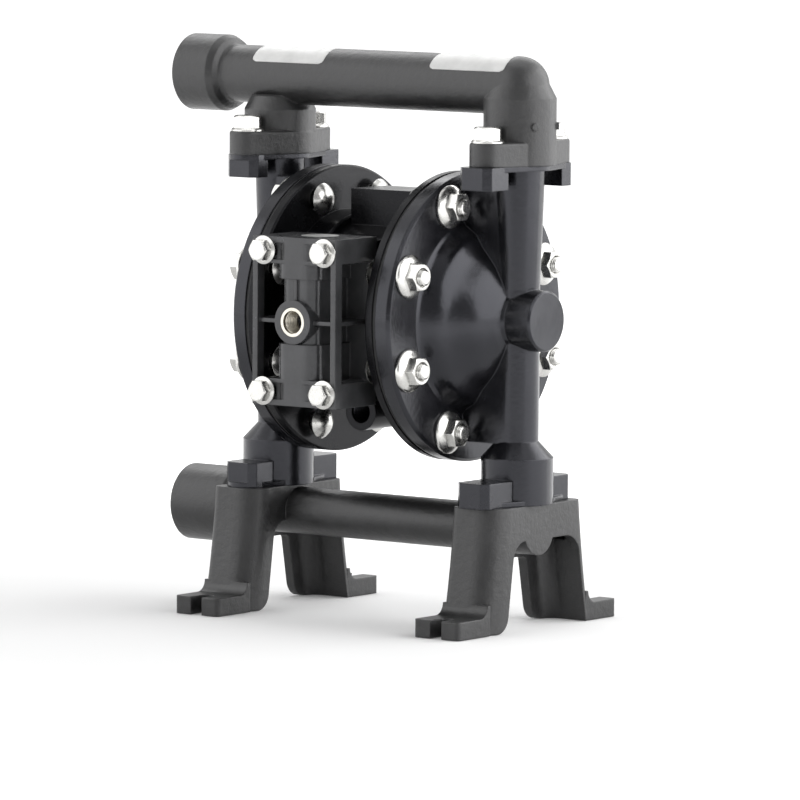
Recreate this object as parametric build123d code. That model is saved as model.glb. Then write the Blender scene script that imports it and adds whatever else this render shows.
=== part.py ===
"""Air operated double diaphragm pump, 3/4 inch ports, in millimetres.

The origin is on the floor, midway between the four feet. X runs along the two
manifolds towards their closed end, -Y is the side of the air valve, +Z is up.
"""

import os
from math import asin, cos, radians, sin, sqrt

from build123d import *

os.makedirs("parts", exist_ok=True)

# Overall layout
port_x = 75.4  # from the middle of the pump to each upright port axis
chamber_z = 153.6  # height of the diaphragm shaft
running_gap = 0.05  # radial clearance of a piece that slides in a bore
bolt_gap = 0.3  # radial clearance round a bolt
head_gap = 0.6  # radial clearance round a bolt's head

# Feet and legs
leg_width = 28.0
leg_wall = 5.0
leg_top_z = 62.0
leg_top_y = 36.3
leg_foot_y = 45.4
leg_corner_r = 4.4
leg_bend_r = 13.0  # outer bend of each leg's L section
leg_flare = 0.4  # share of the spread reached half way down
saddle_plate = 10.0
foot_y = 66.9
foot_width = 27.7
foot_height = 9.0
foot_corner_r = 2.5
foot_flare_r = 6.0
foot_slot_r = 3.5
foot_slot_y = 58.4
arch_top_z = 44.7
arch_low_z = 33.0
arch_top_y = 20.3
arch_foot_y = 26.5
arch_corner_r = 10.0
arch_far_r = 12.0
arch_toe_r = 9.0  # rounded lower corner of a leg's free edge
arch_low_corner_r = 3.0

# Manifolds
inlet_z = 48.7
inlet_pipe_r = 12.0
inlet_bore_r = 8.5
outlet_pipe_r = 14.6
outlet_bore_r = 10.0
socket_r = 19.5
socket_length = 27.0
inlet_socket_length = 32.0
socket_shoulder = 5.0
socket_end_x = -131.3
thread_r = 12.06
thread_length = 20.0
neck_r = 18.2
pad_low_z = 230.9
pad_thickness = 11.8
pad_high_z = pad_low_z + pad_thickness
pad_ear_r = 9.0
pad_waist_r = 16.5  # under the elbow
tee_waist_r = 18.5  # under the tee
pad_edge_r = 1.2
tee_neck = 10.3
tee_edge_z = pad_high_z + tee_neck
elbow_neck = 21.3
elbow_edge_z = pad_high_z + elbow_neck
outlet_rise = 6.0
outlet_z = elbow_edge_z + outlet_rise
shoulder_height = 7.0
nub_rise = 7.6
nub_z = pad_high_z + nub_rise
nub_angle = 30.0
nub_r = 1.9
nub_reach = 1.3
manifold_bolt_y = 27.0

# Wetted covers
flange_r = 72.5
fluid_flange = 8.5
air_flange = 4.6
flange_lip = 1.6
cover_wall = 5.0
cover_bolt_edge = 11.7  # from a bolt's axis to the rim of the flange
cover_bolt_circle_r = flange_r - cover_bolt_edge
cover_nut_flange_r = 10.8
cover_nut_gap = 0.2
dome_base_r = cover_bolt_circle_r - cover_nut_flange_r - cover_nut_gap
dome_shoulder = 12.0
dome_mid_r = dome_base_r - dome_shoulder
dome_mid_x = 60.6
dome_top_r = 19.5
dome_top_x = 74.4
hub_r = 15.3
hub_end_x = 93.0
column_r = 10.7
column_top_r = 12.8
column_bore_r = 7.0
collar_height = 23.0
collar_low_z = leg_top_z + collar_height
collar_taper = 7.0
web_low_z = collar_low_z + collar_taper
ear_y = 39.6
short_ear_y = 33.5
ear_inner_y = 22.5
low_ear_inner_y = 17.0
ear_width = 19.4
ear_chamfer = 3.4
ear_height = 11.4
low_ear_height = 12.6
joint_plate = 2.6

# Ball checks
ball_r = 10.5
ball_lift = 4.0
ball_seat_gap = 0.05
cage_r = 13.6
seat_outer_r = 14.4
seat_inner_r = 8.2
seat_height = 4.0
seal_height = 1.0
cage_slot_width = 5.0
cage_slot_r = 10.5

# Fasteners
cover_bolts = 8
cover_bolt_r = 5.0
cover_head_r = 8.3
cover_head_height = 4.6
cover_nut_across = 15.0
cover_nut_height = 10.0
cover_nut_flange_height = 2.0
cover_stud_end = 2.6
manifold_bolt_r = 4.0
manifold_bolt_across = 13.0
manifold_bolt_head = 7.9
manifold_bolt_flange_r = 8.2
manifold_bolt_flange_height = 1.6
block_screw_r = 3.0
block_screw_across = 10.0
block_screw_head = 6.0
block_screw_flange_r = 7.1
block_screw_flange_height = 1.4

# Air side
air_cover_plate = 4.5
air_cover_wall = 4.5
cover_head_clear = 2.5
air_cover_r = cover_bolt_circle_r - cover_head_r - cover_head_clear
centre_half_x = 20.0
centre_step = 4.0
centre_r = air_cover_r - centre_step
air_screws = 6
air_screw_inset = 16.0
air_screw_circle_r = air_cover_r - air_screw_inset
air_screw_r = 2.5
air_screw_head_r = 4.5
air_screw_head = 3.5
air_screw_length = 12.0
top_block_y = 14.0
top_block_x = 19.0
top_block_rise = 12.0
top_block_z = chamber_z + air_cover_r + top_block_rise
exhaust_r = 9.4
exhaust_bore_r = 5.72
exhaust_face_y = -30.0
exhaust_depth = 16.0
exhaust_gap = 0.78  # between the path into the bore and the valve block

# Diaphragms and shaft
stroke = 8.0  # each way from the middle
stroke_spare = 2.0
shaft_r = 8.0
shaft_end_r = 6.0
shaft_end_x = 53.0
diaphragm_rim_inset = 0.8
plate_clear = 2.5
plate_inner_r = air_screw_circle_r - air_screw_head_r - plate_clear
plate_step = 2.0
plate_outer_r = plate_inner_r - plate_step
plate_thickness = 4.2
diaphragm_thickness = 2.0
diaphragm_inner_x = centre_half_x + air_cover_plate + stroke_spare + stroke + plate_thickness
diaphragm_outer_x = diaphragm_inner_x + diaphragm_thickness
flange_inner_x = diaphragm_inner_x - air_flange
flange_outer_x = diaphragm_outer_x + fluid_flange
shaft_nut_across = 19.0
shaft_nut_height = 7.0
bush_outer_r = 11.0
bush_length = 12.0
seal_length = 3.0
seal_section = 1.8

# Pilot pins
pilot_y = 0.0
pilot_pin_r = 3.0
pilot_z = chamber_z + plate_inner_r - pilot_pin_r
pilot_pin_reach = 24.3
pilot_travel = 1.8
pilot_spool_r = 7.0
pilot_spool_half = 6.0
pilot_cover_half = 22.0
pilot_cover_thickness = 7.0
pilot_cover_y = 50.0
pilot_screw_r = 2.5
pilot_screw_reach = 9.0
pilot_screw_head_r = 4.2
pilot_screw_head = 3.4
pilot_screw_inset_x = 5.0
pilot_screw_inset_z = 6.0
gasket = 1.0

# Main air valve block
block_half_x = 25.8
block_height = 83.8
block_middle_z = chamber_z - 0.2
block_low_z = block_middle_z - block_height / 2
block_high_z = block_middle_z + block_height / 2
exhaust_z = block_low_z - exhaust_bore_r - exhaust_gap
valve_face_y = -(air_cover_r + 0.6)
valve_face_depth = 18.0
block_back_y = valve_face_y - gasket
block_band = 12.3
block_plate = 5.0
block_rim = 3.0
block_rim_depth = 5.5
block_rib = 2.0
spool_depth = 13.4
spool_y = valve_face_y - spool_depth
spool_cover = 21.0  # from the spool's axis to the block's front
block_front_y = spool_y - spool_cover
spool_housing_r = 13.3
spool_waist_r = 11.2
spool_low_end = 30.8  # height of the lower wide part of the spool housing
spool_high_end = 20.7
block_screw_x = 18.8
block_screw_edge = 6.9
block_screw_z = block_height / 2 - block_screw_edge
block_screw_boss_r = 6.6
block_screw_reach = 10.0
boss_r = 11.0
boss_rise = 1.2
boss_front_y = block_front_y - boss_rise
insert_r = 7.25
insert_bore_r = 5.72
insert_length = 12.0
air_passage_r = 4.7
band_pocket = 5.0
band_pocket_depth = 12.0
sleeve_r = 9.5
spool_r = 7.0
spool_travel = 9.0
spool_land = 9.0
spool_neck_r = 4.0
cap_height = 5.0

UP = (Align.CENTER, Align.CENTER, Align.MIN)


def rod(radius, low, high, x=0.0, y=0.0):
    """Upright cylinder between two heights."""
    return Pos(x, y, low) * Cylinder(radius, high - low, align=UP)


def rod_x(radius, start, end, y=0.0, z=chamber_z):
    """Cylinder along X between two planes."""
    return Pos(min(start, end), y, z) * Rot(0, 90, 0) * Cylinder(radius, abs(end - start), align=UP)


def rod_y(radius, start, end, x=0.0, z=chamber_z):
    """Cylinder along Y between two planes."""
    return Pos(x, min(start, end), z) * Rot(-90, 0, 0) * Cylinder(radius, abs(end - start), align=UP)


def block(x, y, z):
    """Box between two limits on each axis."""
    size = [high - low for low, high in (x, y, z)]
    middle = [(high + low) / 2 for low, high in (x, y, z)]
    return Pos(*middle) * Box(*size)


def turned_z(points, x=0.0, y=0.0):
    """Solid of revolution about an upright axis, from (radius, height) points."""
    return Pos(x, y, 0) * revolve(Plane.XZ * Polygon(*points, align=None), Axis.Z)


def turned_x(points, y=0.0, z=chamber_z):
    """Solid of revolution about an axis along X, from (x, radius) points."""
    return Pos(0, y, z) * revolve(Polygon(*points, align=None), Axis.X)


def hexagon(across, low, high):
    """Upright hexagonal prism of a given width across its flats."""
    return Pos(0, 0, low) * extrude(RegularPolygon(across / 2, 6, major_radius=False), high - low)


def flange_head(across, height, flange_r, flange_height):
    """Hexagon with a washer face at its foot, standing on z = 0."""
    neck, corner, flat = 0.56 * across, 0.6 * across, 0.46 * across
    rim = flange_height / 2
    washer = turned_z([(0, 0), (flange_r, 0), (flange_r, rim), (neck, flange_height), (0, flange_height)])
    crown = turned_z([(0, 0), (corner, 0), (corner, height - 0.09 * across), (flat, height), (0, height)])
    return washer + (hexagon(across, flange_height / 2, height) & crown)


def on_sides(piece):
    """The right-hand piece and its mirror image on the left."""
    return {"right": piece, "left": mirror(piece, Plane.YZ)}


def write(name, shape):
    export_step(shape, f"parts/{name}.step")


def group(name, pieces):
    """Writes several separate solids as one node."""
    write(name, Compound(children=[solid for piece in pieces for solid in piece.solids()]))


def port_pad_outline(waist_r):
    """Outline of a two-bolt joint: two ears and a waist."""
    circles = Circle(waist_r).edges()
    for side in (-1, 1):
        circles += (Pos(0, side * manifold_bolt_y) * Circle(pad_ear_r)).edges()
    return make_hull(circles)


def manifold_bolt_places():
    return [(side * port_x, end * manifold_bolt_y) for side in (-1, 1) for end in (-1, 1)]


def cover_bolt_places():
    """Places of the cover bolts as (y, z), spaced evenly and clear of the upright line."""
    step = 360 / cover_bolts
    angles = [radians(step * (index + 0.5)) for index in range(cover_bolts)]
    return [(cover_bolt_circle_r * cos(a), chamber_z + cover_bolt_circle_r * sin(a)) for a in angles]


def ball_cage(low_z):
    """Passage of a ball check: seat recess, ball cage and slotted stop."""
    seat_top = low_z + seal_height + seat_height
    stop = seat_top + seat_stand() + ball_lift + sqrt(ball_r**2 - column_bore_r**2) + ball_seat_gap
    passage = rod(seat_outer_r + running_gap, low_z - 1, seat_top)
    passage += rod(cage_r, seat_top, stop)
    for index in range(3):
        slot = block((0, cage_slot_r), (-cage_slot_width / 2, cage_slot_width / 2), (stop - 1, stop + 4))
        passage += Rot(0, 0, 120 * index) * slot
    return passage, stop


def seat_stand():
    """Height of a ball's centre above the top of its seat."""
    return sqrt(ball_r**2 - seat_inner_r**2) + ball_seat_gap


def leg_profile(inset):
    """Front view of a saddle from the floor to its top, drawn inset by a wall."""
    foot_at = (leg_foot_y - inset, 0)
    waist_at = (leg_top_y + leg_flare * (leg_foot_y - leg_top_y) - inset, leg_top_z / 2)
    top_at = (leg_top_y - inset, leg_top_z)
    right = ThreePointArc(foot_at, waist_at, top_at)
    left = mirror(right, Plane.YZ)
    across = Line(top_at, (-top_at[0], top_at[1]))
    ground = Line(foot_at, (-foot_at[0], 0))
    return make_face(Curve() + [right, left, across, ground])


def round_uprights(solid, x, bend_r, corner_r):
    """Rounds the upright edges of a saddle: wide bends at two opposite corners, small ones at the others."""
    for sign, radius in ((-1, bend_r), (1, corner_r)):
        if radius:
            upright = solid.edges().filter_by(lambda e: abs(e.tangent_at(0.5).Z) > 0.8)
            chosen = [e for e in upright if sign * (e.center().X - x) * e.center().Y > 0]
            solid = fillet(chosen, radius)
    return solid


def saddle(side):
    """One pair of hollow legs bridged by the plate under a cover."""
    x = side * port_x
    half = leg_width / 2
    outside = Pos(x - half, 0, 0) * extrude(Plane.YZ * leg_profile(0), leg_width)
    outside = round_uprights(outside, x, leg_bend_r, leg_corner_r)
    inner = half - leg_wall
    hollow = Pos(x - inner, 0, 0) * extrude(Plane.YZ * leg_profile(leg_wall), 2 * inner)
    hollow = round_uprights(hollow, x, leg_bend_r - leg_wall, 0)
    hollow -= block((x - half, x + half), (-foot_y, foot_y), (leg_top_z - saddle_plate, leg_top_z + 1))
    return outside - hollow - block((x - half, x + half), (-foot_y, foot_y), (-1, 0))


def leg_opening(x, wall, top_z, corner_r):
    """Opening in the wall of a saddle that faces wall, 1 or -1 along X. It leaves one leg its deep side."""
    below = -5
    points = [
        (-foot_y, below),
        (-foot_y, 0),
        (-arch_foot_y, 0),
        (-arch_top_y, top_z),
        (leg_outer_y(top_z) - leg_wall, top_z),
        (leg_foot_y - leg_wall, 0),
        (leg_foot_y - leg_wall, below),
    ]
    face = Polygon(*points, align=None)
    for index, radius in ((2, arch_toe_r), (3, corner_r), (4, arch_far_r)):
        y, z = points[index]
        vertex = [v for v in face.vertices() if abs(v.X - y) + abs(v.Y - z) < 0.01]
        face = fillet(vertex, radius)
    depth = leg_bend_r
    cut = Pos(leg_width / 2 - leg_wall - 1, 0, 0) * extrude(Plane.YZ * face, depth, dir=(1, 0, 0))
    inside = extrude(Plane.YZ * leg_profile(leg_wall), 2 * leg_width)
    inside += block((0, 2 * leg_width), (-foot_y, foot_y), (below, 0))
    cut &= inside
    return Pos(x, 0, 0) * (cut if wall > 0 else Rot(0, 0, 180) * cut)


def leg_outer_y(z):
    """Reach of a leg's outer face at a height, by the parabola nearest to its arc."""
    share = z / leg_top_z
    slope = 3 - 4 * leg_flare
    return leg_foot_y - (leg_foot_y - leg_top_y) * (slope * share + (1 - slope) * share**2)


def foot(side, end):
    """Foot pad with an open bolt slot."""
    x, half = side * port_x, foot_width / 2
    start = leg_foot_y - leg_wall
    pad = block((x - half, x + half), sorted((end * start, end * foot_y)), (0, foot_height))
    corners = [e for e in pad.edges().filter_by(Axis.Z) if abs(e.center().Y) > foot_slot_y]
    pad = fillet(corners, foot_corner_r)
    flare_z = foot_height + foot_flare_r
    flare_y = end * (leg_outer_y(flare_z) + foot_flare_r)
    flare = block((x - half, x + half), sorted((end * start, flare_y)), (foot_height - 1, flare_z))
    flare -= rod_x(foot_flare_r, x - half, x + half, flare_y, flare_z)
    pad += flare
    slot = rod(foot_slot_r, -1, foot_height + 1, x, end * foot_slot_y)
    slot_y = sorted((end * foot_slot_y, end * (foot_y + 1)))
    slot += block((x - foot_slot_r, x + foot_slot_r), slot_y, (-1, foot_height + 1))
    return pad - slot


def socket(z, pipe_r, bore_r, length):
    """Threaded port at the open end of a manifold, with its pipe stub."""
    shoulder = socket_shoulder
    end = socket_end_x + length + shoulder
    body = turned_x(
        [
            (socket_end_x, 0),
            (socket_end_x, socket_r - 1),
            (socket_end_x + 1, socket_r),
            (end - shoulder, socket_r),
            (end - 0.35 * shoulder, socket_r - 1.6),
            (end, pipe_r + 0.5),
            (end + 1, pipe_r),
            (end + 1, 0),
        ],
        z=z,
    )
    bore = rod_x(thread_r, socket_end_x - 1, socket_end_x + thread_length, z=z)
    return body, bore + rod_x(bore_r, socket_end_x, -port_x, z=z)


def inlet_manifold():
    half = leg_width / 2
    body = rod_x(inlet_pipe_r, socket_end_x + socket_length, port_x + half, z=inlet_z)
    stub, bores = socket(inlet_z, inlet_pipe_r, inlet_bore_r, inlet_socket_length)
    bores += rod_x(inlet_bore_r, socket_end_x, port_x, z=inlet_z)
    body += stub
    for side in (-1, 1):
        x = side * port_x
        part = saddle(side)
        part -= leg_opening(x, 1, arch_top_z, arch_corner_r)
        part -= leg_opening(x, -1, arch_low_z, arch_low_corner_r)
        for end in (-1, 1):
            part += foot(side, end)
        body += part
        body += rod(inlet_pipe_r + 2, inlet_z, leg_top_z, x)
        bores += rod(seat_inner_r, inlet_z, leg_top_z + 1, x)
        bores += Pos(x, 0, inlet_z) * Sphere(inlet_bore_r)
    body -= bores
    under = leg_top_z - saddle_plate
    for x, y in manifold_bolt_places():
        body -= rod(manifold_bolt_r + bolt_gap, under - 1, leg_top_z + 1, x, y)
        body -= rod(manifold_bolt_flange_r + head_gap, under - manifold_bolt_head - 3, under, x, y)
    return body


def outlet_manifold():
    pipe = rod_x(outlet_pipe_r, socket_end_x + socket_length, port_x, z=outlet_z)
    pipe += Pos(port_x, 0, outlet_z) * Sphere(outlet_pipe_r)
    stub, bores = socket(outlet_z, outlet_pipe_r, outlet_bore_r, socket_length - socket_shoulder)
    bores += rod_x(outlet_bore_r, socket_end_x, port_x, z=outlet_z)
    bores += Pos(port_x, 0, outlet_z) * Sphere(outlet_bore_r)
    body = pipe + stub
    for side, edge_z, waist_r in ((-1, tee_edge_z, tee_waist_r), (1, elbow_edge_z, pad_waist_r)):
        x = side * port_x
        crown = edge_z + shoulder_height
        neck = [(0, pad_low_z), (neck_r, pad_low_z), (neck_r, edge_z), (outlet_pipe_r, crown), (0, crown)]
        body += turned_z(neck, x)
        pad = extrude(port_pad_outline(waist_r), pad_thickness)
        pad = fillet(pad.faces().sort_by(Axis.Z)[-1].edges(), pad_edge_r)
        body += Pos(x, 0, pad_low_z) * pad
        cage, stop = ball_cage(pad_low_z)
        bores += Pos(x, 0, 0) * cage
        bores += rod(column_bore_r, stop, outlet_z, x)
    for angle in (-nub_angle, nub_angle):
        nub = Rot(0, 90, 0) * Cylinder(nub_r, neck_r + nub_reach, align=UP)
        body += Pos(port_x, 0, nub_z) * Rot(0, 0, angle) * nub
    body -= bores
    for x, y in manifold_bolt_places():
        body -= rod(manifold_bolt_r + bolt_gap, pad_low_z - 1, pad_high_z + 1, x, y)
    return body


def dome_points(inset):
    """Dome of a cover as (x, radius), drawn inset by its wall."""
    return [
        (flange_outer_x - inset, dome_base_r - inset),
        (flange_outer_x + 0.8 - inset, dome_base_r - 2 - inset),
        ((flange_outer_x + dome_mid_x) / 2 + 0.9 - inset, (dome_base_r + dome_mid_r) / 2 + 0.2 - inset),
        (dome_mid_x - inset, dome_mid_r - inset),
        ((dome_mid_x + dome_top_x) / 2 + 0.9 - inset, (dome_mid_r + dome_top_r) / 2 + 0.4 - inset),
        (dome_top_x - inset, dome_top_r - inset),
    ]


def cover_shell():
    """Flange, dome and hub, turned about the shaft axis."""
    points = dome_points(0)
    lip = flange_lip
    rim = Polyline(
        (diaphragm_outer_x, 0),
        (diaphragm_outer_x, flange_r),
        (flange_outer_x - lip, flange_r),
        (flange_outer_x, flange_r - lip),
        points[0],
    )
    dome = Spline(points[0], *points[2:], tangents=((0.3, -1), (0.6, -1)))
    foot_r = hub_r + 0.8
    hub = Polyline(
        points[-1],
        (dome_top_x + 1.6, foot_r),
        (dome_top_x + 3.4, hub_r),
        (hub_end_x - 1, hub_r),
        (hub_end_x, hub_r - 1),
        (hub_end_x, 0),
        (diaphragm_outer_x, 0),
    )
    return Pos(0, 0, chamber_z) * revolve(make_face(Curve() + [rim, dome, hub]), Axis.X)


def cover_cavity():
    """Space between a diaphragm and its cover."""
    points = dome_points(cover_wall)[1:]
    start = (diaphragm_outer_x - 1, dome_base_r - 3)
    line = Spline(start, *points[1:], tangents=((1, -0.1), (0.6, -1)))
    close = Polyline(points[-1], (points[-1][0], 0), (start[0], 0), start)
    return Pos(0, 0, chamber_z) * revolve(make_face(Curve() + [line, close]), Axis.X)


def cover_ear(inner_y, outer_y, low, high):
    """Bolt ear under a joint plate, with chamfered corners."""
    half = ear_width / 2
    ear = block((port_x - half, port_x + half), sorted((inner_y, outer_y)), (low, high))
    corners = [e for e in ear.edges().filter_by(Axis.Z) if abs(e.center().Y) > manifold_bolt_y]
    return chamfer(corners, ear_chamfer)


def fluid_cover():
    """Right-hand wetted cover, with its upright passage and ball cage."""
    body = cover_shell()
    top = pad_low_z
    column = turned_z(
        [
            (0, leg_top_z),
            (neck_r, leg_top_z),
            (neck_r, collar_low_z),
            (column_r, web_low_z + 1),
            (column_r, chamber_z + hub_r),
            (column_top_r, top),
            (0, top),
        ],
        port_x,
    )
    web = block((flange_outer_x - 4, port_x), (-column_r, column_r), (web_low_z, top - ear_height))
    body += column
    body += web
    ears = [
        (top - ear_height, top, top - joint_plate, ear_inner_y),
        (leg_top_z, leg_top_z + low_ear_height, leg_top_z, low_ear_inner_y),
    ]
    for low, high, plate_low, inner_y in ears:
        body += Pos(port_x, 0, plate_low) * extrude(port_pad_outline(pad_waist_r), joint_plate)
        body += cover_ear(-inner_y, -ear_y, low, high)
        body += cover_ear(inner_y, short_ear_y, low, high)
    cage, stop = ball_cage(leg_top_z)
    body -= cover_cavity()
    body -= Pos(port_x, 0, 0) * cage
    body -= rod(column_bore_r, stop, top + 1, port_x)
    body -= rod_x(column_bore_r, dome_mid_x, port_x)
    for y_side in (-1, 1):
        y = y_side * manifold_bolt_y
        body -= rod(manifold_bolt_r, leg_top_z - 1, leg_top_z + low_ear_height - 2, port_x, y)
        body -= rod(manifold_bolt_r, top - ear_height + 2, top + 1, port_x, y)
    for y, z in cover_bolt_places():
        body -= rod_x(cover_bolt_r + bolt_gap, diaphragm_outer_x - 1, flange_outer_x + 1, y, z)
    return body


def air_cover():
    """Right-hand cover of the air chamber, a flanged dish."""
    back = centre_half_x
    body = turned_x(
        [
            (back, 0),
            (back, air_cover_r - 1),
            (back + 1, air_cover_r),
            (flange_inner_x, air_cover_r),
            (flange_inner_x, flange_r - 0.8),
            (flange_inner_x + 0.8, flange_r),
            (diaphragm_inner_x, flange_r),
            (diaphragm_inner_x, air_cover_r - air_cover_wall),
            (back + air_cover_plate + 3, air_cover_r - air_cover_wall - 3),
            (back + air_cover_plate, air_cover_r - air_cover_wall - 6),
            (back + air_cover_plate, 0),
        ]
    )
    body -= rod_x(bush_outer_r, 0, flange_outer_x)
    body -= rod_x(pilot_pin_r + running_gap, 0, flange_outer_x, pilot_y, pilot_z)
    for y, z in cover_bolt_places():
        body -= rod_x(cover_bolt_r + bolt_gap, flange_inner_x - 1, diaphragm_inner_x + 1, y, z)
    for y, z in air_screw_places():
        body -= rod_x(air_screw_r + bolt_gap, 0, flange_outer_x, y, z)
    return body


def air_screw_places():
    angles = [radians(360 / air_screws * index) for index in range(air_screws)]
    return [(air_screw_circle_r * cos(a), chamber_z + air_screw_circle_r * sin(a)) for a in angles]


def block_screw_places():
    return [(sx * block_screw_x, block_middle_z + sz * block_screw_z) for sx in (-1, 1) for sz in (-1, 1)]


def pilot_screw_places():
    reach_x = centre_half_x - pilot_screw_inset_x
    reach_z = pilot_cover_half - pilot_screw_inset_z
    return [(sx * reach_x, chamber_z + sz * reach_z) for sx in (-1, 1) for sz in (-1, 1)]


def pilot_chamber():
    """Half length of the space that the pilot spool slides in."""
    return pilot_spool_half + pilot_travel + 1.2


def centre_body():
    """Housing between the air covers, with the valve, pilot and exhaust faces."""
    half = centre_half_x
    pilot_face = pilot_cover_y - gasket
    face_z = (block_low_z + 2, block_high_z - 2)
    face_x = (-block_half_x + 1, block_half_x - 1)
    body = block(face_x, (valve_face_y, valve_face_y + valve_face_depth), face_z)
    for side in (-1, 1):
        body -= rod_x(air_cover_r + bolt_gap, side * half, side * (half + leg_width))
    body += rod_x(centre_r, -half, half)
    body += block((-half, half), (valve_face_y, 0), face_z)
    pilot_z_limits = (chamber_z - pilot_cover_half, chamber_z + pilot_cover_half)
    body += block((-half, half), (0, pilot_face), pilot_z_limits)
    body += block((-top_block_x, top_block_x), (-top_block_y, top_block_y), (chamber_z, top_block_z))
    body += rod_y(exhaust_r, exhaust_face_y, 0, 0, exhaust_z)
    body -= rod_y(exhaust_bore_r, exhaust_face_y - 1, exhaust_face_y + exhaust_depth, 0, exhaust_z)
    body -= rod_x(shaft_r + 1, -half, half)
    for side in (-1, 1):
        body -= rod_x(bush_outer_r, side * (half - bush_length), side * (half + 1))
        for y, z in air_screw_places():
            body -= rod_x(air_screw_r, side * (half - air_screw_length), side * (half + 1), y, z)
    body -= rod_x(pilot_pin_r + running_gap, -half - 1, half + 1, pilot_y, pilot_z)
    body -= rod_x(pilot_spool_r + running_gap, -pilot_chamber(), pilot_chamber(), pilot_y, pilot_z)
    for x, z in block_screw_places():
        body -= rod_y(block_screw_r, valve_face_y - 1, valve_face_y + block_screw_reach, x, z)
    for x, z in pilot_screw_places():
        body -= rod_y(pilot_screw_r, pilot_face - pilot_screw_reach, pilot_face + 1, x, z)
    return body


def spool_housing():
    """Rounded housing of the spool, thicker at its ends than beside the air inlet."""
    front = block_front_y
    parts = []
    waist_low, waist_high = block_low_z + spool_low_end, block_high_z - spool_high_end
    for low, high, r in (
        (block_low_z, waist_low, spool_housing_r),
        (waist_low, waist_high, spool_waist_r),
        (waist_high, block_high_z, spool_housing_r),
    ):
        core = block((-r, r), (front + (spool_housing_r - r), block_back_y), (low, high))
        corners = [e for e in core.edges().filter_by(Axis.Z) if e.center().Y < spool_y]
        parts.append(fillet(corners, 0.62 * r))
    return parts[0] + parts[1] + parts[2]


def valve_block():
    """Main air valve housing: open frame, spool housing, bands and ribs."""
    x, z = (-block_half_x, block_half_x), (block_low_z, block_high_z)
    front, back = block_front_y, block_back_y
    body = block(x, (back - block_plate, back), z)
    rim = block(x, (front, front + block_rim_depth), z)
    rim -= block(
        (x[0] + block_rim, x[1] - block_rim),
        (front - 1, front + block_rim_depth + 1),
        (z[0] + block_rim, z[1] - block_rim),
    )
    body += rim
    for low, high in ((z[0], z[0] + block_band), (z[1] - block_band, z[1])):
        body += block(x, (front + 1.2, back), (low, high))
        for edge in (low, high):
            lip = (edge - block_rib / 2, edge + block_rib / 2)
            lip = (max(lip[0], z[0]), min(lip[1], z[1]))
            body += block(x, (front, front + 3), lip)
    body += spool_housing()
    half_rib = block_rib / 2
    body += block(x, (front + 2, back), (block_middle_z - half_rib, block_middle_z + half_rib))
    body += block((-half_rib, half_rib), (front + 1, spool_y), (block_middle_z, block_high_z - spool_high_end))
    body += rod_y(boss_r, boss_front_y, spool_y, 0, block_middle_z)
    for sx, sz in block_screw_places():
        body += rod_y(block_screw_boss_r, front, back, sx, sz)
    for side in (-1, 1):
        for sign in (-1, 1):
            px = side * (block_screw_x + spool_housing_r) / 2 - side * 1.6
            pz = block_middle_z + sign * block_screw_z
            half_pocket = band_pocket / 2
            body -= block(
                (px - half_pocket, px + half_pocket),
                (front - 1, front + band_pocket_depth),
                (pz - half_pocket, pz + half_pocket),
            )
    body -= rod(sleeve_r, z[0] - 1, z[1] + 1, 0, spool_y)
    body -= rod_y(insert_r, boss_front_y - 1, boss_front_y + insert_length, 0, block_middle_z)
    body -= rod_y(air_passage_r, boss_front_y, spool_y, 0, block_middle_z)
    for sx, sz in block_screw_places():
        body -= rod_y(block_screw_r + bolt_gap, front - 1, back + 1, sx, sz)
    return body


def valve_spool():
    """Grooved spool resting on its lower cap."""
    low = block_low_z + cap_height + 0.1
    high = block_high_z - cap_height - spool_travel - 0.1
    land = spool_land
    points = [(0, low), (spool_r, low), (spool_r, low + land), (spool_neck_r, low + land)]
    middle = (low + high) / 2
    for start in (middle - land / 2, high - land):
        end = start + land
        points += [(spool_neck_r, start), (spool_r, start), (spool_r, end)]
        if end < high:
            points.append((spool_neck_r, end))
    points.append((0, high))
    return turned_z(points, 0, spool_y)


def spool_sleeve():
    low, high = block_low_z + cap_height, block_high_z - cap_height
    sleeve = rod(sleeve_r, low, high, 0, spool_y) - rod(spool_r + running_gap, low - 1, high + 1, 0, spool_y)
    return sleeve - rod_y(air_passage_r, spool_y - 2 * sleeve_r, spool_y, 0, block_middle_z)


def spool_cap(low):
    """Disc that closes one end of the spool bore."""
    cap = rod(sleeve_r, low, low + cap_height, 0, spool_y)
    return cap - rod(spool_neck_r - 1, low - 1, low + 1.2, 0, spool_y)


def air_inlet_insert():
    ring = rod_y(insert_r, boss_front_y, boss_front_y + insert_length, 0, block_middle_z)
    return ring - rod_y(insert_bore_r, boss_front_y - 1, boss_front_y + insert_length + 1, 0, block_middle_z)


def block_gasket():
    face = block_back_y
    x, z = (-block_half_x + 1, block_half_x - 1), (block_low_z + 2, block_high_z - 2)
    sheet = block(x, (face, face + gasket), z)
    for sx, sz in block_screw_places():
        sheet -= rod_y(block_screw_r + bolt_gap, face - 1, face + 2 * gasket, sx, sz)
    return sheet


def screw_to_y(x, y, z, length, out):
    """Flange-headed screw standing on a face whose outward side is out, -1 or 1 along Y."""
    head = flange_head(
        block_screw_across,
        block_screw_head,
        block_screw_flange_r,
        block_screw_flange_height,
    )
    screw = head + rod(block_screw_r, -length, 0.1)
    return Pos(x, y, z) * Rot(-90 * out, 0, 0) * screw


def valve_block_screws():
    length = valve_face_y - block_front_y + block_screw_reach - 0.5
    return [screw_to_y(x, block_front_y, z, length, -1) for x, z in block_screw_places()]


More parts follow.
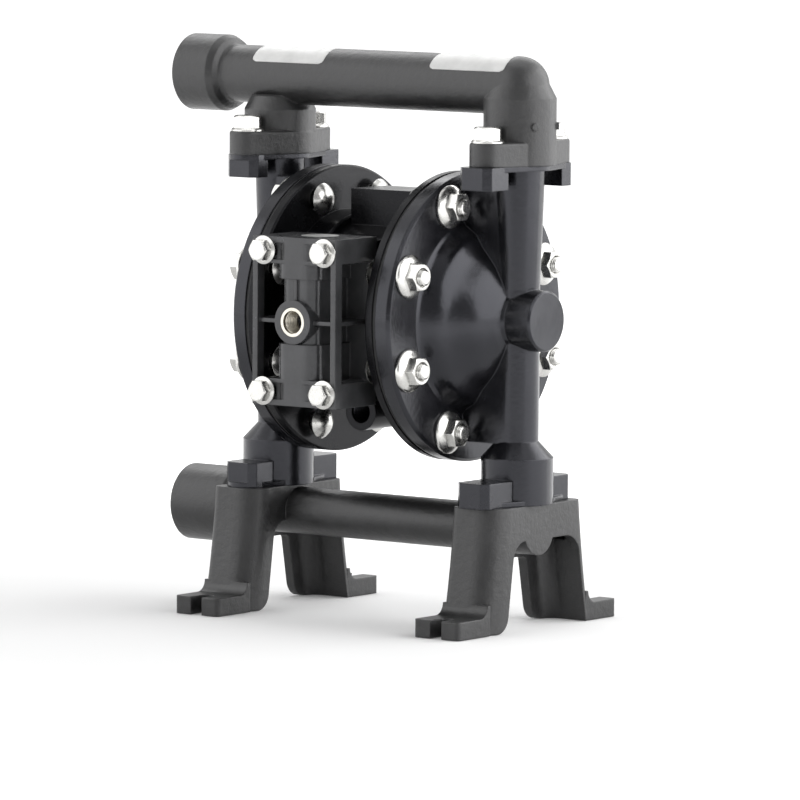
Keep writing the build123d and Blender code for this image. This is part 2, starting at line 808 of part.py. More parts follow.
def pilot_cover():
    """Ribbed plate over the pilot valve, on the side away from the air inlet."""
    half, face = pilot_cover_half, pilot_cover_y
    z = (chamber_z - half, chamber_z + half)
    plate = block((-centre_half_x, centre_half_x), (face, face + pilot_cover_thickness), z)
    corners = plate.edges().filter_by(Axis.Y)
    plate = fillet(corners, 4)
    plate -= block(
        (-centre_half_x + 9.5, centre_half_x - 9.5),
        (face + pilot_cover_thickness - 2.5, face + pilot_cover_thickness + 1),
        (z[0] + 4, z[1] - 4),
    )
    for x, sz in pilot_screw_places():
        plate -= rod_y(pilot_screw_r + bolt_gap, face - 1, face + pilot_cover_thickness + 1, x, sz)
    return plate


def pilot_gasket():
    x, z = (-centre_half_x, centre_half_x), (chamber_z - pilot_cover_half, chamber_z + pilot_cover_half)
    sheet = block(x, (pilot_cover_y - gasket, pilot_cover_y), z)
    sheet = fillet(sheet.edges().filter_by(Axis.Y), 4)
    for sx, sz in pilot_screw_places():
        sheet -= rod_y(pilot_screw_r + bolt_gap, pilot_cover_y - 2 * gasket, pilot_cover_y + 1, sx, sz)
    return sheet


def pilot_screws():
    face = pilot_cover_y + pilot_cover_thickness
    length = pilot_cover_thickness + gasket + pilot_screw_reach - 0.5
    head_r, high = pilot_screw_head_r, pilot_screw_head
    screw = turned_z(
        [
            (0, -length),
            (pilot_screw_r, -length),
            (pilot_screw_r, 0),
            (head_r, 0),
            (head_r, high - 1.2),
            (head_r - 1.2, high),
            (0, high),
        ]
    )
    return [Pos(x, face, z) * Rot(-90, 0, 0) * screw for x, z in pilot_screw_places()]


def diaphragm():
    """Right-hand diaphragm, clamped at its rim and between the two plates."""
    middle = (diaphragm_inner_x + diaphragm_outer_x) / 2
    bend = (plate_inner_r + air_cover_r - air_cover_wall) / 2
    rim = flange_r - diaphragm_rim_inset
    inner, outer = diaphragm_inner_x, diaphragm_outer_x
    section = Polygon(
        (inner, shaft_end_r),
        (inner, bend - 6),
        (inner + 2.2, bend),
        (inner, bend + 6),
        (inner, rim),
        (outer, rim),
        (outer, bend + 6),
        (outer + 2.2, bend),
        (outer, bend - 6),
        (outer, shaft_end_r),
        align=None,
    )
    body = Pos(0, 0, chamber_z) * revolve(section, Axis.X)
    for y, z in cover_bolt_places():
        body -= rod_x(cover_bolt_r + bolt_gap, inner - 1, outer + 1, y, z)
    return body


def plate(start, end, radius, bevel):
    """Clamping plate of a diaphragm, bevelled on its free side."""
    toward = 1 if end > start else -1
    rim = end - toward * bevel
    top = radius - 2 * bevel
    return turned_x([(start, shaft_end_r), (start, radius), (rim, radius), (end, top), (end, shaft_end_r)])


def shaft():
    """Diaphragm shaft with a shoulder and a stud at each end."""
    shoulder = diaphragm_inner_x - plate_thickness
    return turned_x(
        [
            (-shaft_end_x, 0),
            (-shaft_end_x, shaft_end_r - 1),
            (-shaft_end_x + 1, shaft_end_r),
            (-shoulder, shaft_end_r),
            (-shoulder, shaft_r),
            (shoulder, shaft_r),
            (shoulder, shaft_end_r),
            (shaft_end_x - 1, shaft_end_r),
            (shaft_end_x, shaft_end_r - 1),
            (shaft_end_x, 0),
        ]
    )


def shaft_nut():
    start = diaphragm_outer_x + plate_thickness
    nut = hexagon(shaft_nut_across, 0, shaft_nut_height) - rod(shaft_end_r, -1, shaft_nut_height + 1)
    return Pos(start, 0, chamber_z) * Rot(0, 90, 0) * nut


def bush():
    """Shaft bearing in the centre body, with a recess for its seal."""
    start = centre_half_x - bush_length
    end = centre_half_x + air_cover_plate
    ring = rod_x(bush_outer_r, start, end) - rod_x(shaft_r + running_gap, start - 1, end + 1)
    return ring - rod_x(shaft_r + seal_section, end - seal_length, end + 1)


def shaft_seal():
    end = centre_half_x + air_cover_plate
    ring = rod_x(shaft_r + seal_section, end - seal_length, end)
    return ring - rod_x(shaft_r + running_gap, end - seal_length - 1, end + 1)


def pilot_pin():
    """Right-hand pin that an inner plate pushes at the end of a stroke."""
    return turned_x(
        [
            (pilot_spool_half, 0),
            (pilot_spool_half, pilot_pin_r),
            (pilot_pin_reach - 0.8, pilot_pin_r),
            (pilot_pin_reach, pilot_pin_r - 0.8),
            (pilot_pin_reach, 0),
        ],
        pilot_y,
        pilot_z,
    )


def pilot_spool():
    half = pilot_spool_half
    return turned_x(
        [
            (-half, 0),
            (-half, pilot_spool_r),
            (-2, pilot_spool_r),
            (-2, pilot_spool_r - 2),
            (2, pilot_spool_r - 2),
            (2, pilot_spool_r),
            (half, pilot_spool_r),
            (half, 0),
        ],
        pilot_y,
        pilot_z,
    )


def cover_bolt_set():
    """Round-headed bolts of one side, driven outwards through both flanges."""
    end = flange_outer_x + cover_nut_height + cover_stud_end
    start = flange_inner_x
    ball_radius = (cover_head_r**2 + cover_head_height**2) / (2 * cover_head_height)
    centre = start - cover_head_height + ball_radius
    half_angle = asin(cover_head_r / ball_radius) / 2
    crown = ThreePointArc(
        (start, cover_head_r),
        (centre - ball_radius * cos(half_angle), ball_radius * sin(half_angle)),
        (start - cover_head_height, 0),
    )
    outline = Polyline(
        (start - cover_head_height, 0),
        (end, 0),
        (end, cover_bolt_r - 0.9),
        (end - 0.9, cover_bolt_r),
        (start, cover_bolt_r),
        (start, cover_head_r),
    )
    bolt = revolve(make_face(Curve() + [crown, outline]), Axis.X)
    return [Pos(0, y, z) * bolt for y, z in cover_bolt_places()]


def cover_nut_set():
    nut = flange_head(cover_nut_across, cover_nut_height, cover_nut_flange_r, cover_nut_flange_height)
    nut -= rod(cover_bolt_r, -1, cover_nut_height + 1)
    return [Pos(flange_outer_x, y, z) * Rot(0, 90, 0) * nut for y, z in cover_bolt_places()]


def air_screw_set():
    """Low screws that hold an air cover to the centre body."""
    face = centre_half_x + air_cover_plate
    screw = turned_x(
        [
            (centre_half_x - air_screw_length + 0.5, 0),
            (centre_half_x - air_screw_length + 0.5, air_screw_r),
            (face, air_screw_r),
            (face, air_screw_head_r),
            (face + air_screw_head - 0.8, air_screw_head_r),
            (face + air_screw_head, air_screw_head_r - 0.8),
            (face + air_screw_head, 0),
        ],
        0,
        0,
    )
    return [Pos(0, y, z) * screw for y, z in air_screw_places()]


def manifold_bolt(length):
    head = flange_head(
        manifold_bolt_across,
        manifold_bolt_head,
        manifold_bolt_flange_r,
        manifold_bolt_flange_height,
    )
    return head + rod(manifold_bolt_r, -length, 0.1)


def outlet_bolts():
    length = pad_high_z - pad_low_z + ear_height - 2.5
    return [Pos(x, y, pad_high_z) * manifold_bolt(length) for x, y in manifold_bolt_places()]


def inlet_bolts():
    length = saddle_plate + low_ear_height - 2.5
    bolt = Rot(180, 0, 0) * manifold_bolt(length)
    return [Pos(x, y, leg_top_z - saddle_plate) * bolt for x, y in manifold_bolt_places()]


def seat(low_z):
    """Ball seat ring with a bevelled mouth."""
    low, high = low_z + seal_height, low_z + seal_height + seat_height
    return turned_z(
        [(seat_inner_r, low), (seat_outer_r, low), (seat_outer_r, high), (seat_inner_r, high)],
        port_x,
    )


def seat_seal(low_z):
    ring = rod(seat_outer_r, low_z, low_z + seal_height, port_x)
    return ring - rod(seat_outer_r - 3.5, low_z - 1, low_z + seal_height + 1, port_x)


def ball(low_z):
    return Pos(port_x, 0, low_z + seal_height + seat_height + seat_stand()) * Sphere(ball_r)


write("inlet_manifold", inlet_manifold())
write("outlet_manifold", outlet_manifold())
write("centre_body", centre_body())
write("valve_block", valve_block())
write("valve_block_gasket", block_gasket())
write("air_inlet_insert", air_inlet_insert())
write("spool_sleeve", spool_sleeve())
write("valve_spool", valve_spool())
write("spool_cap_lower", spool_cap(block_low_z))
write("spool_cap_upper", spool_cap(block_high_z - cap_height))
group("valve_block_screws", valve_block_screws())
write("pilot_cover", pilot_cover())
write("pilot_cover_gasket", pilot_gasket())
group("pilot_cover_screws", pilot_screws())
write("pilot_spool", pilot_spool())
write("diaphragm_shaft", shaft())
group("outlet_manifold_bolts", outlet_bolts())
group("inlet_manifold_bolts", inlet_bolts())

inner_plate = plate(diaphragm_inner_x, diaphragm_inner_x - plate_thickness, plate_inner_r, 1.5)
outer_plate = plate(diaphragm_outer_x, diaphragm_outer_x + plate_thickness, plate_outer_r, 1.5)
cover = fluid_cover()
write("fluid_cover_right", cover)
write("fluid_cover_left", Rot(0, 0, 180) * cover)
handed = {
    "air_cover": air_cover(),
    "diaphragm": diaphragm(),
    "inner_plate": inner_plate,
    "outer_plate": outer_plate,
    "shaft_nut": shaft_nut(),
    "shaft_bush": bush(),
    "shaft_seal": shaft_seal(),
    "pilot_pin": pilot_pin(),
    "inlet_seat": seat(leg_top_z),
    "outlet_seat": seat(pad_low_z),
    "inlet_seat_seal": seat_seal(leg_top_z),
    "outlet_seat_seal": seat_seal(pad_low_z),
    "inlet_ball": ball(leg_top_z),
    "outlet_ball": ball(pad_low_z),
}
for name, piece in handed.items():
    for side, shape in on_sides(piece).items():
        write(f"{name}_{side}", shape)

fastener_sets = {
    "cover_bolts": cover_bolt_set(),
    "cover_nuts": cover_nut_set(),
    "air_cover_screws": air_screw_set(),
}
for name, pieces in fastener_sets.items():
    group(f"{name}_right", pieces)
    group(f"{name}_left", [mirror(piece, Plane.YZ) for piece in pieces])
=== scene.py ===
import math

import bpy
from mathutils import Matrix, Vector


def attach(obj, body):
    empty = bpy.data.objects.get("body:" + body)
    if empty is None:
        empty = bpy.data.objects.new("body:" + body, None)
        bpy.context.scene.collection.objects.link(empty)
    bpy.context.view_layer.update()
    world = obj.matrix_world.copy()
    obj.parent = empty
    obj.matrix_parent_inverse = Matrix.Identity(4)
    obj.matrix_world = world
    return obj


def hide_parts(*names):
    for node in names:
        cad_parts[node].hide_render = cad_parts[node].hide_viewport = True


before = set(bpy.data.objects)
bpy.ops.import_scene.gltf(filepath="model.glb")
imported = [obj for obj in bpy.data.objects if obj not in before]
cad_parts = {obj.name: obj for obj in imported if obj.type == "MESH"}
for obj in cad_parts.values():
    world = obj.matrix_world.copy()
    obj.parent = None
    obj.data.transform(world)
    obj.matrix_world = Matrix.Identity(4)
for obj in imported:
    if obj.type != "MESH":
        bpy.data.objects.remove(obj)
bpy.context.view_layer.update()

MM = 0.001

# Camera, solved from the photograph's own points: degrees, metres and pixels
CAMERA_AZIMUTH = 37.015
CAMERA_ELEVATION = 5.378
CAMERA_ROLL = 0.387
CAMERA_DISTANCE = 3.724
CAMERA_AIM_HEIGHT = 0.150
CAMERA_SHIFT_RIGHT = 0.001616
CAMERA_SHIFT_DOWN = 0.041046
FOCAL_PIXELS = 7397.0
IMAGE_PIXELS = 800.0
SENSOR_WIDTH = 36.0

# Sizes that repeat part.py's, in mm
SUCTION_AXIS_Z = 48.7
OUTLET_AXIS_Z = 270.0
SOCKET_MOUTH_X = -131.3
OUTLET_PIPE_R = 14.6
CHAMBER_Z = 153.6
FLANGE_OUTER_X = 49.2
COVER_BOLTS = 8
COVER_BOLT_CIRCLE_R = 60.8

# Threads: minor radius, pitch and depth in mm
PIPE_THREAD = (12.06, 1.81, 0.8)
AIR_THREAD = (5.72, 1.34, 0.55)
THREAD_STEPS = 56
THREAD_START = 0.8
THREAD_SINK = 0.03

NUT_SIDES = 48
BOLT_CORE_R = 3.45

# Finishes: edge radii in metres, and how dark the patches are beside the colour
BEVEL_SAMPLES = 4
METAL_EDGE = 0.00025
METAL_TARNISH = 0.88
MOULDED_EDGE = 0.0003
MOULDED_SHADE = 0.86

# Lights and floor
LIGHT_AZIMUTH = 37.0
LIGHT_AIM_HEIGHT = 0.15
FLOOR_LIFT = 0.12
FLOOR_GLOW_FROM = 0.24
FLOOR_GLOW_TO = 0.75
WORLD_FILL = 0.25
WORLD_DIM = 0.45


# Camera

def set_camera():
    azimuth = math.radians(CAMERA_AZIMUTH)
    elevation = math.radians(CAMERA_ELEVATION)
    roll = math.radians(CAMERA_ROLL)
    back = Vector((
        math.sin(azimuth) * math.cos(elevation),
        -math.cos(azimuth) * math.cos(elevation),
        math.sin(elevation),
    ))
    right = Vector((math.cos(azimuth), math.sin(azimuth), 0.0))
    up = back.cross(right)
    target = Vector((0.0, 0.0, CAMERA_AIM_HEIGHT)) + right * CAMERA_SHIFT_RIGHT - up * CAMERA_SHIFT_DOWN
    place = target + back * CAMERA_DISTANCE
    right_rolled = right * math.cos(roll) + up * math.sin(roll)
    up_rolled = up * math.cos(roll) - right * math.sin(roll)
    data = bpy.data.cameras.new("camera")
    data.sensor_width = SENSOR_WIDTH
    data.lens = SENSOR_WIDTH * FOCAL_PIXELS / IMAGE_PIXELS
    data.clip_start = 0.1
    data.clip_end = 60.0
    camera = bpy.data.objects.new("camera", data)
    turn = Matrix((right_rolled, up_rolled, back)).transposed()
    camera.matrix_world = Matrix.Translation(place) @ turn.to_4x4()
    bpy.context.scene.collection.objects.link(camera)
    bpy.context.scene.camera = camera


# Node helpers

def add_node(tree, kind, **sockets):
    node = tree.nodes.new(kind)
    for name, value in sockets.items():
        key = name.replace("_", " ")
        if isinstance(value, bpy.types.NodeSocket):
            tree.links.new(value, node.inputs[key])
        else:
            node.inputs[key].default_value = value
    return node


def noise(tree, place, scale, detail, roughness):
    node = add_node(tree, "ShaderNodeTexNoise", Vector=place, Scale=scale, Detail=detail,
                    Roughness=roughness)
    return node.outputs["Fac"]


def spread(tree, value, low, high, from_low=0.35, from_high=0.65):
    node = add_node(tree, "ShaderNodeMapRange", Value=value, From_Min=from_low, From_Max=from_high,
                    To_Min=low, To_Max=high)
    return node.outputs["Result"]


def blend_colour(tree, factor, first, second):
    node = tree.nodes.new("ShaderNodeMix")
    node.data_type = "RGBA"
    tree.links.new(factor, node.inputs[0])
    for index, value in ((6, first), (7, second)):
        if isinstance(value, bpy.types.NodeSocket):
            tree.links.new(value, node.inputs[index])
        else:
            node.inputs[index].default_value = value
    return node.outputs[2]


def maths(tree, operation, first, second=0.0, clamp=False):
    node = tree.nodes.new("ShaderNodeMath")
    node.operation = operation
    node.use_clamp = clamp
    for index, value in ((0, first), (1, second)):
        if isinstance(value, bpy.types.NodeSocket):
            tree.links.new(value, node.inputs[index])
        else:
            node.inputs[index].default_value = value
    return node.outputs[0]


def grey(level, tint):
    return (level * tint[0], level * tint[1], level * tint[2], 1.0)


def start_material(name):
    material = bpy.data.materials.new(name)
    material.use_nodes = True
    tree = material.node_tree
    shader = tree.nodes["Principled BSDF"]
    place = tree.nodes.new("ShaderNodeTexCoord").outputs["Object"]
    return material, tree, shader, place


def rounded_normal(tree, radius):
    node = tree.nodes.new("ShaderNodeBevel")
    node.samples = BEVEL_SAMPLES
    node.inputs["Radius"].default_value = radius
    return node.outputs["Normal"]


def edge_mask(tree, rounded, low, high):
    flat = tree.nodes.new("ShaderNodeNewGeometry").outputs["Normal"]
    node = tree.nodes.new("ShaderNodeVectorMath")
    node.operation = "DOT_PRODUCT"
    tree.links.new(rounded, node.inputs[0])
    tree.links.new(flat, node.inputs[1])
    turned = maths(tree, "SUBTRACT", 1.0, node.outputs["Value"])
    return add_node(tree, "ShaderNodeMapRange", Value=turned, From_Min=low, From_Max=high).outputs["Result"]


def bump(tree, height, distance, normal=None):
    node = add_node(tree, "ShaderNodeBump", Height=height, Distance=distance, Strength=1.0)
    if normal is not None:
        tree.links.new(normal, node.inputs["Normal"])
    return node.outputs["Normal"]


# Materials

def painted_casting(name, tint, dark, light, rough, grain, grain_size, edge, wear, shine):
    material, tree, shader, place = start_material(name)
    mottle = noise(tree, place, 62.0, 4.0, 0.6)
    cloud = noise(tree, place, 11.0, 2.0, 0.5)
    base = blend_colour(tree, spread(tree, mottle, 0.0, 1.0), grey(dark, tint), grey(light, tint))
    rounded = rounded_normal(tree, edge)
    worn = edge_mask(tree, rounded, 0.10, 0.42)
    broken = spread(tree, noise(tree, place, 420.0, 3.0, 0.7), 0.0, wear, 0.45, 0.62)
    worn = maths(tree, "MULTIPLY", worn, broken, clamp=True)
    base = blend_colour(tree, worn, base, grey(0.16, (1.0, 0.99, 0.97)))
    tree.links.new(base, shader.inputs["Base Color"])
    fine_gloss = spread(tree, mottle, -0.035, 0.035)
    gloss = maths(tree, "ADD", fine_gloss, spread(tree, cloud, rough - 0.03, rough + 0.03))
    tree.links.new(gloss, shader.inputs["Roughness"])
    fine = noise(tree, place, 1.0 / grain_size, 3.0, 0.6)
    coarse = noise(tree, place, 0.28 / grain_size, 2.0, 0.5)
    normal = bump(tree, coarse, grain * 2.2, rounded)
    normal = bump(tree, fine, grain, normal)
    tree.links.new(normal, shader.inputs["Normal"])
    shader.inputs["Specular IOR Level"].default_value = shine
    shader.inputs["Specular Tint"].default_value = (tint[0] ** 0.5, tint[1] ** 0.5, tint[2] ** 0.5, 1.0)
    return material


def metal(name, colour, rough, grain=0.00002, scale=900.0):
    material, tree, shader, place = start_material(name)
    shader.inputs["Metallic"].default_value = 1.0
    patches = noise(tree, place, 160.0, 4.0, 0.6)
    darker = (*(share * METAL_TARNISH for share in colour), 1.0)
    base = blend_colour(tree, spread(tree, patches, 0.0, 1.0, 0.38, 0.68), (*colour, 1.0), darker)
    tree.links.new(base, shader.inputs["Base Color"])
    scratches = noise(tree, place, scale, 4.0, 0.7)
    tree.links.new(spread(tree, patches, rough - 0.04, rough + 0.06), shader.inputs["Roughness"])
    rounded = rounded_normal(tree, METAL_EDGE)
    tree.links.new(bump(tree, scratches, grain, rounded), shader.inputs["Normal"])
    return material


def moulded(name, colour, rough, grain=0.00002, scale=700.0):
    material, tree, shader, place = start_material(name)
    cloud = noise(tree, place, 90.0, 3.0, 0.5)
    darker = (*(share * MOULDED_SHADE for share in colour), 1.0)
    base = blend_colour(tree, spread(tree, cloud, 0.0, 1.0), (*colour, 1.0), darker)
    tree.links.new(base, shader.inputs["Base Color"])
    tree.links.new(spread(tree, cloud, rough - 0.05, rough + 0.05), shader.inputs["Roughness"])
    rounded = rounded_normal(tree, MOULDED_EDGE)
    fine = noise(tree, place, scale, 3.0, 0.6)
    tree.links.new(bump(tree, fine, grain, rounded), shader.inputs["Normal"])
    return material


def make_materials():
    return {
        "cast_black": painted_casting(
            "painted_cast_black", tint=(1.0, 1.0, 1.02), dark=0.014, light=0.024, rough=0.40,
            grain=0.00010, grain_size=0.0010, edge=0.0011, wear=0.35, shine=0.60),
        "coated_black": painted_casting(
            "coated_cover_black", tint=(0.93, 0.95, 1.16), dark=0.004, light=0.007, rough=0.22,
            grain=0.00003, grain_size=0.0008, edge=0.0009, wear=0.30, shine=0.46),
        # Painted shade: the cover coat's colour with its reflections turned down, so the centre body and
        # air covers render near black in the hollows between the covers.
        "housing_black": painted_casting(
            "painted_shade_housing_coat", tint=(0.96, 0.97, 1.10), dark=0.004, light=0.007, rough=0.24,
            grain=0.00002, grain_size=0.0008, edge=0.0007, wear=0.30, shine=0.16),
        "block_black": painted_casting(
            "valve_block_black", tint=(0.98, 0.99, 1.04), dark=0.032, light=0.046, rough=0.24,
            grain=0.00003, grain_size=0.0008, edge=0.0008, wear=0.30, shine=0.55),
        "stainless": metal("stainless_fastener", (0.60, 0.595, 0.575), 0.25),
        "port_insert": metal("plated_insert", (0.66, 0.63, 0.56), 0.30),
        "diaphragm_rubber": moulded("diaphragm_rubber", (0.022, 0.022, 0.023), 0.66, 0.00004, 900.0),
        "gasket_sheet": moulded("gasket_sheet", (0.030, 0.030, 0.031), 0.72, 0.00004, 1300.0),
        "seal_rubber": moulded("seal_rubber", (0.018, 0.018, 0.019), 0.55, 0.00002, 900.0),
        "plate_metal": metal("clamp_plate_metal", (0.62, 0.62, 0.61), 0.34, 0.00004, 700.0),
        "spool_plastic": moulded("spool_plastic", (0.74, 0.72, 0.66), 0.38),
        "bearing_plastic": moulded("bearing_plastic", (0.20, 0.20, 0.20), 0.46),
        "seat_plastic": moulded("seat_plastic", (0.80, 0.80, 0.77), 0.44),
        "ball_plastic": moulded("ball_plastic", (0.78, 0.77, 0.74), 0.36),
    }


def label_material():
    return moulded("blank_label", (0.80, 0.80, 0.79), 0.42, 0.00002, 500.0)


# The centre body and air covers take the dimmed copy of the cover coat as painted shade. The valve block
# and pilot cover take the valve block paint.
NODE_FINISH_OR_SHADE = {
    "centre_body": "housing_black",
    "air_cover_left": "housing_black",
    "air_cover_right": "housing_black",
    "valve_block": "block_black",
    "pilot_cover": "block_black",
}


def dress_nodes(materials):
    for name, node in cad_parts.items():
        for slot in node.material_slots:
            finish_or_shade = NODE_FINISH_OR_SHADE.get(name, slot.material.name.split(".")[0])
            slot.material = materials[finish_or_shade]


# Small pieces that the solids leave out

def new_piece(name, points, faces, material, body):
    mesh = bpy.data.meshes.new(name)
    mesh.from_pydata(points, [], faces)
    mesh.update()
    for polygon in mesh.polygons:
        polygon.use_smooth = True
    piece = bpy.data.objects.new(name, mesh)
    bpy.context.scene.collection.objects.link(piece)
    mesh.materials.append(material)
    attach(piece, body)
    return piece


def thread(name, mouth, inward, length, size, material):
    """Helical ridge that lines a bore. mouth is the centre of its mouth in mm, inward a unit vector."""
    radius, pitch, depth = size
    inward = Vector(inward)
    side = Vector((0.0, 0.0, 1.0))
    other = inward.cross(side)
    turns = int((length - 1.5) / pitch)
    root, crest = radius - THREAD_SINK, radius - depth
    profile = ((root, -0.42), (crest, -0.12), (crest, 0.12), (root, 0.42))
    points, faces = [], []
    for step in range(turns * THREAD_STEPS + 1):
        angle = 2.0 * math.pi * step / THREAD_STEPS
        along = THREAD_START + pitch * (step / THREAD_STEPS + 0.5)
        for r, share in profile:
            ring = (side * math.cos(angle) + other * math.sin(angle)) * r
            points.append((Vector(mouth) + inward * (along + share * pitch) + ring) * MM)
        if step:
            for index in range(4 * step, 4 * step + 3):
                faces.append((index, index - 4, index - 3, index + 1))
    return new_piece(name, points, faces, material, "pump_body")


def label(name, start, end, low_angle, high_angle, material):
    """Thin blank label that wraps the upper front of the outlet pipe."""
    across, along = 24, 30
    corner, outside, inside = 2.5, 0.16, -0.05
    places, faces = [], []
    for row in range(across + 1):
        angle = math.radians(low_angle + (high_angle - low_angle) * row / across)
        reach = min(row, across - row) / across * math.radians(high_angle - low_angle) * OUTLET_PIPE_R
        inset = 0.0
        if reach < corner:
            inset = corner - math.sqrt(corner**2 - (corner - reach) ** 2)
        for column in range(along + 1):
            places.append((start + inset + (end - start - 2.0 * inset) * column / along, angle))
    wide = along + 1
    for row in range(across):
        for column in range(along):
            a = row * wide + column
            faces.append((a, a + 1, a + 1 + wide, a + wide))
    border = list(range(wide))
    border += [row * wide + along for row in range(1, across + 1)]
    border += [across * wide + column for column in range(along - 1, -1, -1)]
    border += [row * wide for row in range(across - 1, 0, -1)]
    under = len(places)
    for index, first in enumerate(border):
        following = (index + 1) % len(border)
        faces.append((first, under + index, under + following, border[following]))
    sheet = [(x, OUTLET_PIPE_R + outside, angle) for x, angle in places]
    sheet += [(places[index][0], OUTLET_PIPE_R + inside, places[index][1]) for index in border]
    points = []
    for x, r, angle in sheet:
        points.append((x * MM, -r * math.cos(angle) * MM, (OUTLET_AXIS_Z + r * math.sin(angle)) * MM))
    return new_piece(name, points, faces, material, "pump_body")


def hexagon_radius(across, angle):
    """Distance from the middle to the outline, with corners at angle 0 and every 60 degrees."""
    turned = (angle + math.pi / 6.0) % (math.pi / 3.0) - math.pi / 6.0
    return across / 2.0 / math.cos(math.pi / 6.0 - abs(turned))


def flange_nut_rings():
    """Rings of one flange nut, as lists of (radius, height) in mm around its axis."""
    across, crown, height = 13.0, 6.3, 8.8
    flange = (
        (4.2, 0.0), (10.5, 0.0), (10.8, 0.3), (10.8, 1.3),
        (10.5, 1.75), (9.8, 2.2), (9.0, 2.6), (8.2, 2.95),
    )
    rings = [[point] * NUT_SIDES for point in flange]
    angles = [2.0 * math.pi * index / NUT_SIDES for index in range(NUT_SIDES)]
    hexagon = [hexagon_radius(across, angle) for angle in angles]
    rings.append([(max(r + 0.25, 7.0), 3.3) for r in hexagon])
    rings.append([(r, 3.6) for r in hexagon])
    rings.append([(r, height - max(r - crown, 0.0) * 0.62) for r in hexagon])
    rings += [[point] * NUT_SIDES for point in ((crown, height), (4.9, height), (4.2, height - 0.6))]
    return rings


def bolt_rings():
    """Rings of one cover bolt: a domed head at the inner flange, a shank and a threaded end."""
    head_r, rise, start = 8.3, 4.6, -19.7
    arc = (head_r**2 + rise**2) / (2.0 * rise)
    rings = []
    for index in range(1, 10):
        r = head_r * index / 9.0
        rings.append([(r, start - rise + arc - math.sqrt(arc**2 - r**2))] * NUT_SIDES)
    shank = ((head_r, start), (4.1, start), (4.1, 2.0), (BOLT_CORE_R, 2.4))
    rings += [[point] * NUT_SIDES for point in shank]
    pitch, ridge, thread_start, steps = 1.25, 0.62, 2.6, 6
    tip, turns = 10.9, 6.4
    for step in range(int(turns * steps) + 1):
        height = thread_start + pitch * step / steps
        phases = [(step / steps - side / NUT_SIDES) % 1.0 for side in range(NUT_SIDES)]
        rings.append([(BOLT_CORE_R + ridge * (1.0 - abs(2.0 * phase - 1.0)), height) for phase in phases])
    rings += [[point] * NUT_SIDES for point in ((3.4, tip - 0.25), (3.1, tip), (0.4, tip))]
    return rings


def cover_fasteners(node, rings, hand, closed, material):
    """Eight turned pieces that stand for a CAD node. Closed rings join up as a tube."""
    points, faces = [], []
    for number in range(COVER_BOLTS):
        around = 2.0 * math.pi * (number + 0.5) / COVER_BOLTS
        middle_y = COVER_BOLT_CIRCLE_R * math.cos(around)
        middle_z = CHAMBER_Z + COVER_BOLT_CIRCLE_R * math.sin(around)
        first = len(points)
        for ring in rings:
            for side, (r, along) in enumerate(ring):
                angle = 2.0 * math.pi * side / NUT_SIDES
                points.append((
                    hand * (FLANGE_OUTER_X + along) * MM,
                    (middle_y - r * math.cos(angle)) * MM,
                    (middle_z + r * math.sin(angle)) * MM,
                ))
        count = len(rings)
        for row in range(count if closed else count - 1):
            below, above = first + row * NUT_SIDES, first + (row + 1) % count * NUT_SIDES
            for side in range(NUT_SIDES):
                after = (side + 1) % NUT_SIDES
                face = (below + side, above + side, above + after, below + after)
                faces.append(face if hand > 0 else face[::-1])
        if not closed:
            low_end = tuple(first + side for side in range(NUT_SIDES))
            high_end = tuple(first + (count - 1) * NUT_SIDES + side for side in range(NUT_SIDES))
            faces.append(low_end if hand > 0 else low_end[::-1])
            faces.append(high_end[::-1] if hand > 0 else high_end)
    piece = new_piece(f"detailed_{node}", points, faces, material, "pump_body")
    piece.data.set_sharp_from_angle(angle=math.radians(28.0))
    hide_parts(node)


def make_small_pieces(materials):
    cast, coated = materials["cast_black"], materials["coated_black"]
    insert, stainless = materials["port_insert"], materials["stainless"]
    for name, axis_z in (("suction_thread", SUCTION_AXIS_Z), ("discharge_thread", OUTLET_AXIS_Z)):
        thread(name, (SOCKET_MOUTH_X, 0.0, axis_z), (1, 0, 0), 20.0, PIPE_THREAD, cast)
    thread("air_inlet_thread", (0.0, -86.2, 153.4), (0, 1, 0), 12.0, AIR_THREAD, insert)
    thread("exhaust_thread", (0.0, -30.0, 105.0), (0, 1, 0), 16.0, AIR_THREAD, coated)
    for side, hand in (("right", 1.0), ("left", -1.0)):
        cover_fasteners(f"cover_nuts_{side}", flange_nut_rings(), hand, True, stainless)
        cover_fasteners(f"cover_bolts_{side}", bolt_rings(), hand, False, stainless)
    paper = label_material()
    label("label_left", -84.0, -39.0, 29.0, 112.0, paper)
    label("label_right", 28.0, 74.0, 29.0, 112.0, paper)


# Floor, lights and world

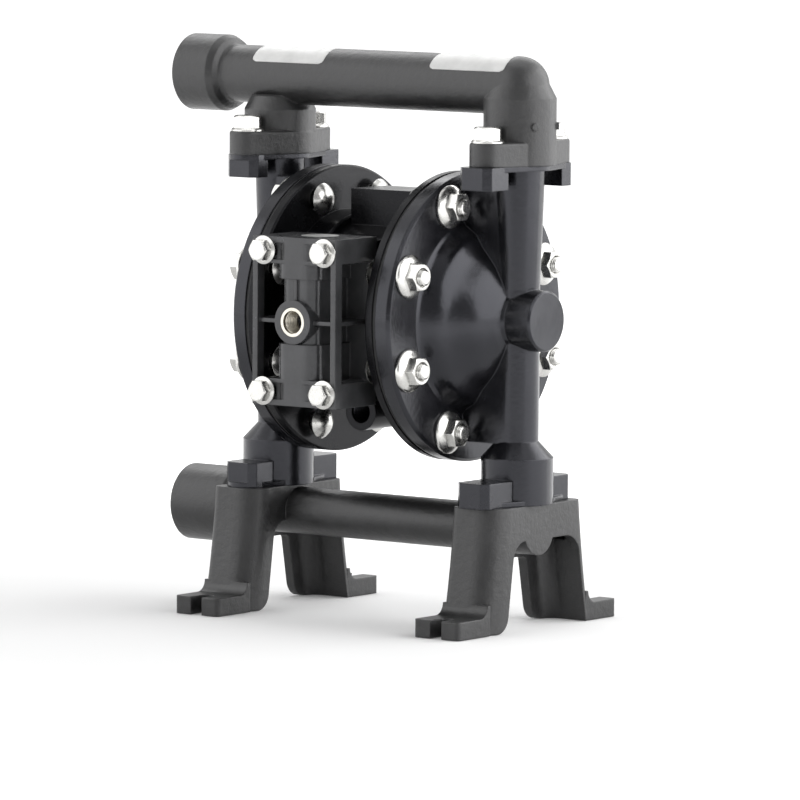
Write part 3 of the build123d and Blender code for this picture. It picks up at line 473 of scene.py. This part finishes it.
def make_floor():
    bpy.ops.mesh.primitive_plane_add(size=24.0, location=(0.0, 0.0, -0.0003))
    floor = bpy.context.object
    floor.name = "floor"
    material = bpy.data.materials.new("floor")
    material.use_nodes = True
    tree = material.node_tree
    tree.nodes.remove(tree.nodes["Principled BSDF"])
    output = tree.nodes["Material Output"]
    place = tree.nodes.new("ShaderNodeTexCoord").outputs["Object"]
    length = tree.nodes.new("ShaderNodeVectorMath")
    length.operation = "LENGTH"
    tree.links.new(place, length.inputs[0])
    grain = noise(tree, place, 260.0, 3.0, 0.5)
    paper = add_node(tree, "ShaderNodeBsdfDiffuse", Color=(0.83, 0.83, 0.83, 1.0))
    tree.links.new(bump(tree, grain, 0.00005), paper.inputs["Normal"])
    away = add_node(tree, "ShaderNodeMapRange", Value=length.outputs["Value"], From_Min=FLOOR_GLOW_FROM,
                    From_Max=FLOOR_GLOW_TO, To_Min=FLOOR_LIFT, To_Max=1.0)
    away.interpolation_type = "SMOOTHSTEP"
    path = tree.nodes.new("ShaderNodeLightPath")
    seen = maths(tree, "ADD", path.outputs["Is Camera Ray"], path.outputs["Is Glossy Ray"])
    seen = maths(tree, "ADD", seen, path.outputs["Is Transmission Ray"], clamp=True)
    strength = maths(tree, "MULTIPLY", seen, away.outputs["Result"])
    glow = add_node(tree, "ShaderNodeEmission", Strength=strength)
    both = tree.nodes.new("ShaderNodeAddShader")
    tree.links.new(paper.outputs[0], both.inputs[0])
    tree.links.new(glow.outputs[0], both.inputs[1])
    tree.links.new(both.outputs[0], output.inputs["Surface"])
    floor.data.materials.append(material)


def softbox(name, azimuth, distance, height, width, tall, radiance):
    angle = math.radians(azimuth)
    place = Vector((math.sin(angle) * distance, -math.cos(angle) * distance, height))
    data = bpy.data.lights.new(name, "AREA")
    data.shape = "RECTANGLE"
    data.size = width
    data.size_y = tall
    data.energy = radiance * math.pi * width * tall
    lamp = bpy.data.objects.new(name, data)
    aim = Vector((0.0, 0.0, LIGHT_AIM_HEIGHT)) - place
    lamp.rotation_euler = aim.to_track_quat("-Z", "Y").to_euler()
    lamp.location = place
    bpy.context.scene.collection.objects.link(lamp)


def make_lights():
    softbox("softbox_left", LIGHT_AZIMUTH - 78.0, distance=1.25, height=0.72, width=2.4, tall=1.4,
            radiance=1.25)
    softbox("softbox_right", LIGHT_AZIMUTH + 84.0, distance=1.2, height=0.72, width=3.0, tall=1.4,
            radiance=2.8)
    softbox("softbox_top", LIGHT_AZIMUTH + 180.0, distance=0.25, height=1.9, width=1.3, tall=1.0,
            radiance=1.1)
    softbox("softbox_back", LIGHT_AZIMUTH + 180.0, distance=1.15, height=1.15, width=1.6, tall=0.6,
            radiance=2.4)


def make_world():
    """White to the camera. Reflections see it too, dimmer towards the camera's side."""
    world = bpy.data.worlds.new("world")
    bpy.context.scene.world = world
    world.use_nodes = True
    tree = world.node_tree
    background = tree.nodes["Background"]
    path = tree.nodes.new("ShaderNodeLightPath")
    angle = math.radians(LIGHT_AZIMUTH)
    facing = tree.nodes.new("ShaderNodeVectorMath")
    facing.operation = "DOT_PRODUCT"
    tree.links.new(tree.nodes.new("ShaderNodeTexCoord").outputs["Generated"], facing.inputs[0])
    facing.inputs[1].default_value = (math.sin(angle), -math.cos(angle), 0.0)
    mirrored = add_node(tree, "ShaderNodeMapRange", Value=facing.outputs["Value"], From_Min=0.0,
                        From_Max=0.9, To_Min=1.0, To_Max=WORLD_DIM)
    straight, through = path.outputs["Is Camera Ray"], path.outputs["Is Transmission Ray"]
    reflected = maths(tree, "ADD", path.outputs["Is Glossy Ray"], through, clamp=True)
    glossy = maths(tree, "MULTIPLY", reflected, mirrored.outputs["Result"])
    seen = maths(tree, "ADD", straight, glossy)
    plain = maths(tree, "SUBTRACT", 1.0, maths(tree, "ADD", straight, reflected), clamp=True)
    fill = maths(tree, "MULTIPLY", plain, WORLD_FILL)
    tree.links.new(maths(tree, "ADD", seen, fill), background.inputs["Strength"])
    background.inputs["Color"].default_value = (1.0, 1.0, 1.0, 1.0)


bpy.context.scene.view_settings.view_transform = "Standard"
set_camera()
make_world()
make_lights()
make_floor()
finishes_and_shade = make_materials()
dress_nodes(finishes_and_shade)
make_small_pieces(finishes_and_shade)
